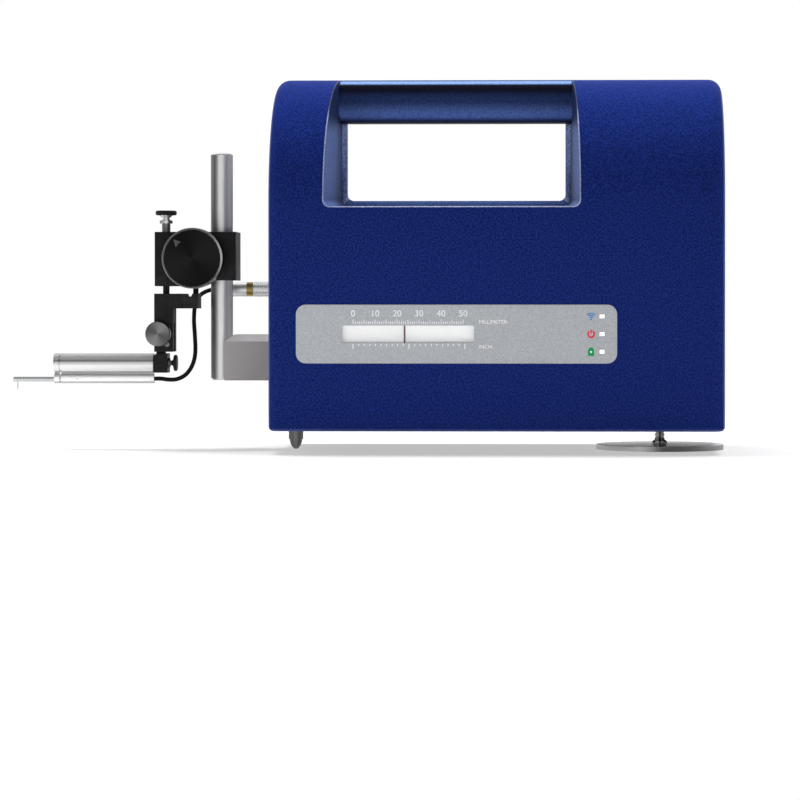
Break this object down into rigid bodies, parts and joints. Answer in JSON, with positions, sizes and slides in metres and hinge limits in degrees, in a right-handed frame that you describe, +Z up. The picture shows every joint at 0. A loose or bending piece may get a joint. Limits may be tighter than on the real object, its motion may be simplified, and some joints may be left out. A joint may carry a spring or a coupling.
{
  "type": "surface roughness tester",
  "caption": "Bench surface roughness tester: a handled drive unit on a levelling foot carries a column with a clamped, tilting stylus pickup that it traverses along the work.",
  "frame": {"origin": "on the standing surface, under the middle of the whole instrument's length and depth", "axes": "+X along the traverse, away from the pickup; +Y to the rear; +Z up"},
  "size_m": [0.3356, 0.1196, 0.1736],
  "materials": {
    "shell_blue": "fine textured paint",
    "grip_blue": "fine textured paint",
    "base_grey": "powder coat",
    "panel_grey": "printed satin plate",
    "clear_window": "clear",
    "scale_white": "printed",
    "lens_white": "clear diffusing",
    "seal_black": "matt",
    "plated": "bright plating",
    "steel": "ground",
    "gilt": "satin",
    "bare_aluminium": "machined",
    "arm_grey": "bead blasted",
    "black_anodised": "satin anodised",
    "wrap_blue": "shrink wrap",
    "board_green": "solder mask",
    "black_plastic": "satin",
    "pointer_red": "satin",
    "lead_black": "satin jacket"
  },
  "bodies": {
    "drive_unit": {"front_shell": "shell_blue", "rear_shell": "shell_blue", "handle_grip": "grip_blue", "base_plate": "base_grey", "scale_panel": "panel_grey", "scale_window": "clear_window", "scale_backing": "scale_white", "indicator_lenses": "lens_white", "end_panel": "base_grey", "arm_seal": "seal_black", "lead_socket": "plated", "plug_sleeve": "plated", "plug_ring": "gilt", "plug_collar": "plated", "pin_foot": "steel", "left_bearing_block": "bare_aluminium", "right_bearing_block": "bare_aluminium", "guide_rods": "steel", "motor_bracket": "bare_aluminium", "drive_motor": "steel", "battery_pack": "wrap_blue", "control_board": "board_green", "housing_screws": "steel", "base_screws": "steel", "button_bezel": "bare_aluminium", "charge_socket": "black_plastic", "sensor_lead": "lead_black"},
    "power_button": {"power_button": "black_plastic"},
    "lead_screw": {"lead_screw": "steel", "shaft_coupling": "bare_aluminium", "motor_shaft": "steel"},
    "carriage": {"carriage_block": "bare_aluminium", "screw_nut": "gilt", "traverse_arm": "arm_grey", "column": "steel", "column_pins": "steel", "pointer": "pointer_red"},
    "holder": {"clamp_block": "black_anodised", "clamp_nut": "steel"},
    "clamp_knob": {"clamp_knob": "black_anodised", "clamp_stud": "steel"},
    "bracket": {"fine_bracket": "black_anodised", "guide_pin": "steel", "stop_pin": "steel"},
    "fine_screw": {"fine_screw": "steel", "fine_cap": "black_anodised"},
    "tilt_knob": {"tilt_knob": "bare_aluminium", "tilt_screw": "steel"},
    "pickup": {"pickup_mount": "black_anodised", "pickup_body": "plated", "pickup_nose": "plated"},
    "pickup_screw": {"pickup_screw": "steel", "pickup_cap": "black_anodised"},
    "stylus": {"stylus_arm": "bare_aluminium", "stylus_pivot": "steel", "stylus_needle": "steel"},
    "level_stem": {"level_stem": "steel"},
    "level_disc": {"level_disc": "steel"}
  },
  "joints": [
    {"name": "traverse", "type": "slide", "parent": "drive_unit", "child": "carriage", "axis": [1, 0, 0], "range_m": [-0.0233, 0.0267], "deforming": ["sensor_lead"]},
    {"name": "screw_spin", "type": "hinge", "parent": "drive_unit", "child": "lead_screw", "pos_m": [0.06218, 0, 0.0624], "axis": [1, 0, 0], "continuous": true},
    {"name": "column_height", "type": "slide", "parent": "carriage", "child": "holder", "axis": [0, 0, 1], "range_m": [-0.024, 0.036], "deforming": ["sensor_lead"]},
    {"name": "clamp_turn", "type": "hinge", "parent": "holder", "child": "clamp_knob", "pos_m": [-0.08042, 0, 0.0897], "axis": [0, 1, 0], "range_deg": [0, 180]},
    {"name": "fine_height", "type": "slide", "parent": "holder", "child": "bracket", "axis": [0, 0, 1], "range_m": [-0.003, 0.003], "deforming": ["sensor_lead"]},
    {"name": "fine_turn", "type": "hinge", "parent": "bracket", "child": "fine_screw", "pos_m": [-0.09523, 0, 0.0732], "axis": [0, 0, 1], "continuous": true},
    {"name": "tilt_lock", "type": "hinge", "parent": "bracket", "child": "tilt_knob", "pos_m": [-0.09773, 0, 0.0543], "axis": [0, 1, 0], "range_deg": [-180, 180]},
    {"name": "pickup_tilt", "type": "hinge", "parent": "bracket", "child": "pickup", "pos_m": [-0.09773, 0, 0.0543], "axis": [0, 1, 0], "range_deg": [-6, 6], "deforming": ["sensor_lead"]},
    {"name": "pickup_lock", "type": "hinge", "parent": "pickup", "child": "pickup_screw", "pos_m": [-0.10088, 0, 0.04045], "axis": [1, 0, 0], "continuous": true},
    {"name": "stylus_pivot", "type": "hinge", "parent": "pickup", "child": "stylus", "pos_m": [-0.13728, 0, 0.0327], "axis": [0, 1, 0], "range_deg": [-0.5, 0.5], "stiffness_Nm_per_rad": 0.03},
    {"name": "level_height", "type": "slide", "parent": "drive_unit", "child": "level_disc", "axis": [0, 0, 1], "range_m": [-0.008, 0.005]},
    {"name": "level_turn", "type": "hinge", "parent": "level_disc", "child": "level_stem", "pos_m": [0.13778, 0, 0], "axis": [0, 0, 1], "continuous": true},
    {"name": "button_press", "type": "slide", "parent": "drive_unit", "child": "power_button", "axis": [0, 1, 0], "range_m": [-0.0015, 0], "stiffness_N_per_m": 600}
  ],
  "couplings": [
    {"joint": "screw_spin", "follows": "traverse", "rad_per_m": -3141.6},
    {"joint": "fine_turn", "follows": "fine_height", "rad_per_m": 8976},
    {"joint": "level_turn", "follows": "level_height", "rad_per_m": 7854}
  ]
}
